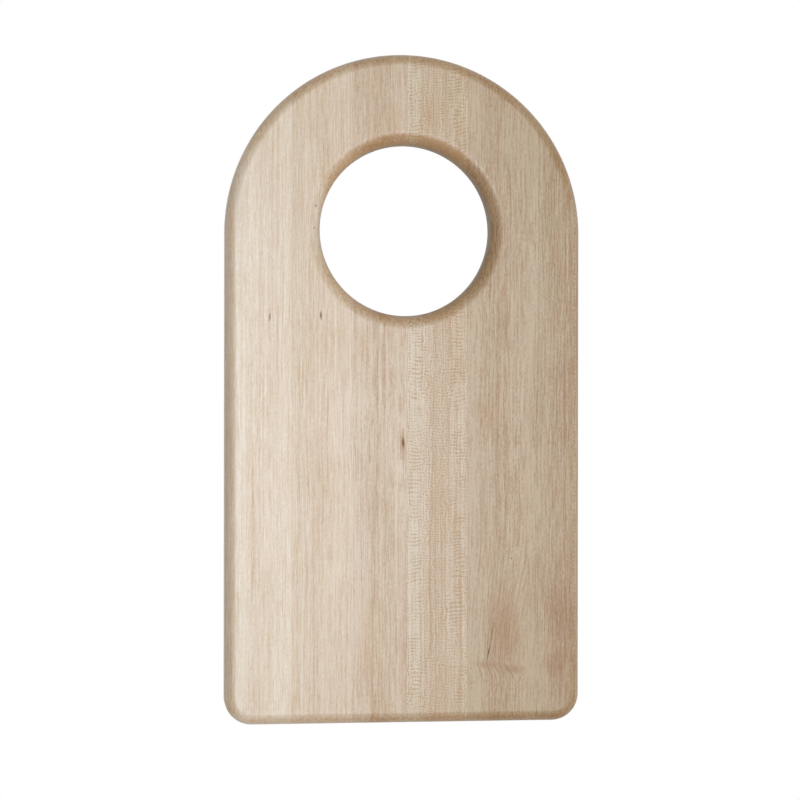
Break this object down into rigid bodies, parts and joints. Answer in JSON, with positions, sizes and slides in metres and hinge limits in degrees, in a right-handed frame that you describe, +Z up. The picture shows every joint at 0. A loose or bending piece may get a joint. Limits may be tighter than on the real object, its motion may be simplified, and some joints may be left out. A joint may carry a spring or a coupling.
{
  "type": "cutting board",
  "caption": "Edge-glued hardwood cutting board with a half-round end, a large round hand hole and heavily rounded edges.",
  "frame": {"origin": "centre of the underside's bounding rectangle, on the surface that the board lies on", "axes": "+Z up through the thickness to the cutting face, +Y along the length towards the half-round end with the hand hole, +X to the right across the width"},
  "size_m": [0.2414, 0.452, 0.0254],
  "materials": {
    "maple_1": "pale plain-sawn hard maple, sanded and oiled, satin",
    "maple_2": "pale plain-sawn hard maple, fine straight grain, satin",
    "maple_3": "slightly grey-pink plain-sawn hard maple, satin",
    "maple_4": "quarter-sawn hard maple with lacy ray fleck, satin",
    "maple_5": "warm hard maple with curved grain and mild figure, satin",
    "maple_6": "warm plain-sawn hard maple, ray fleck down the outer edge, satin",
    "wood_glue": "thin set wood glue line, translucent amber"
  },
  "bodies": {
    "root": {"stave_1": "maple_1", "stave_2": "maple_2", "stave_3_lower": "maple_3", "stave_3_upper": "maple_3", "stave_4_lower": "maple_4", "stave_4_upper": "maple_4", "stave_5": "maple_5", "stave_6": "maple_6", "glue_1_2": "wood_glue", "glue_2_3_lower": "wood_glue", "glue_2_3_upper": "wood_glue", "glue_3_4_lower": "wood_glue", "glue_3_4_upper": "wood_glue", "glue_4_5_lower": "wood_glue", "glue_4_5_upper": "wood_glue", "glue_5_6": "wood_glue"}
  },
  "joints": []
}
